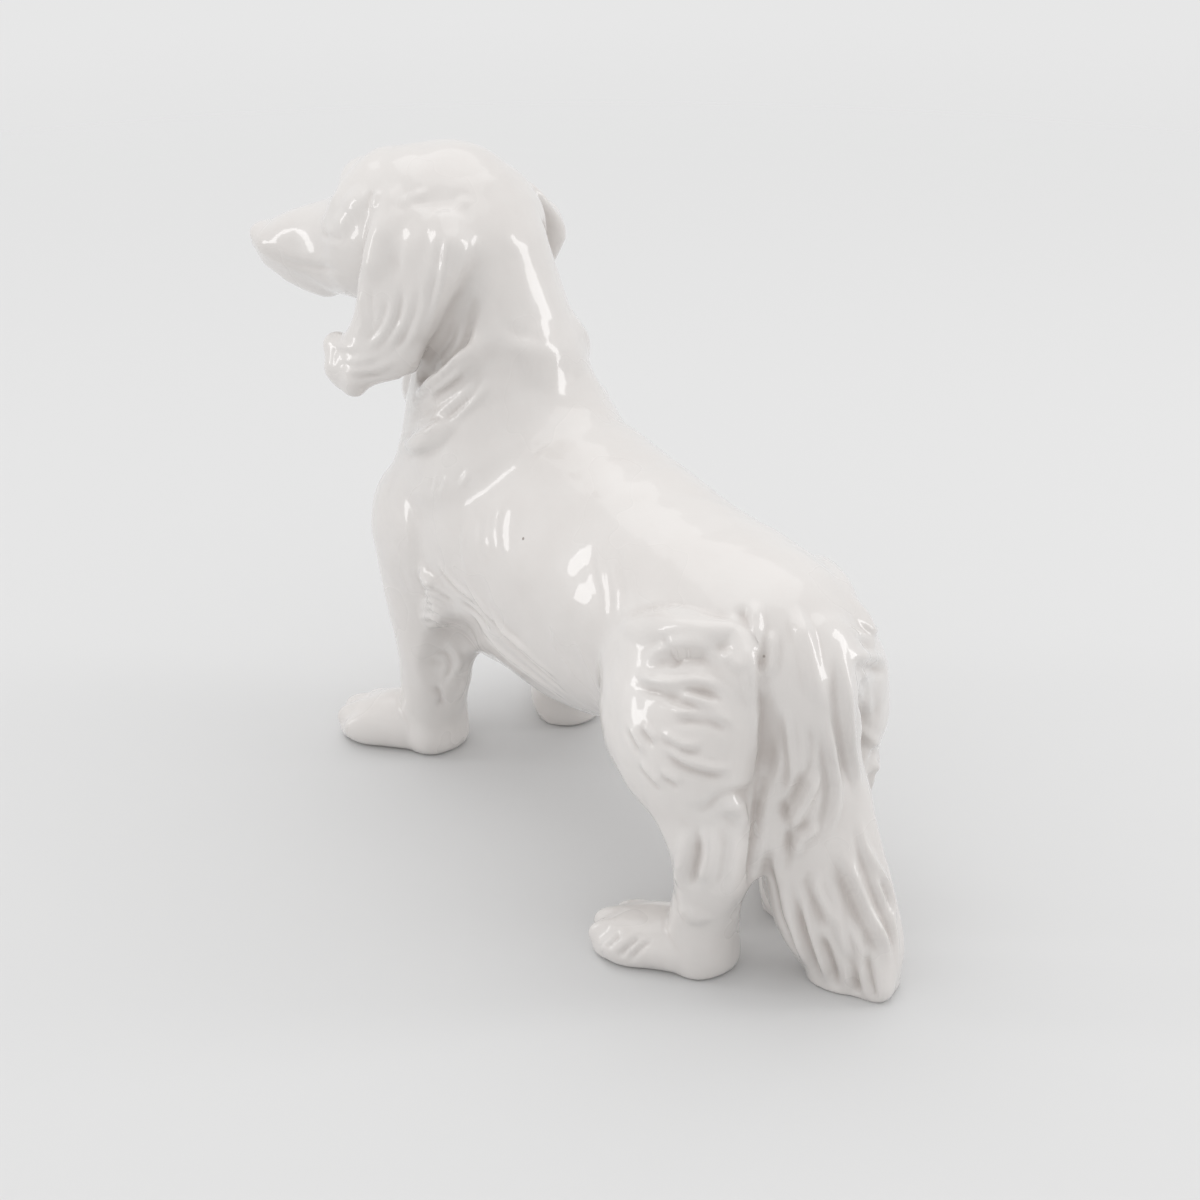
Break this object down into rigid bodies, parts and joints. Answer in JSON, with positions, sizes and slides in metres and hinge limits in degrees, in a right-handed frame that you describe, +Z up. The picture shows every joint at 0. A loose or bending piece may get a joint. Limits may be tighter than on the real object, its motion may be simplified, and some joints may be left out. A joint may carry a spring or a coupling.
{
  "type": "standing dog figurine",
  "caption": "White glazed ceramic figurine of a standing long-haired dachshund, head turned to its left and tail hanging to the ground, that rests on its flat soles as an ornament.",
  "frame": {"origin": "on the ground under the middle of the figure's outline seen from above", "axes": "+X the way the body faces, +Y the dog's left, +Z up"},
  "size_m": [0.2842, 0.1146, 0.2215],
  "materials": {
    "white_glaze": "thick glossy clear-white glaze over white ware, a little greyer where it lies thick"
  },
  "bodies": {
    "root": {"torso": "white_glaze", "head_and_neck": "white_glaze", "ear_left": "white_glaze", "ear_right": "white_glaze", "foreleg_left": "white_glaze", "foreleg_right": "white_glaze", "hindleg_left": "white_glaze", "hindleg_right": "white_glaze", "tail": "white_glaze"}
  },
  "joints": []
}
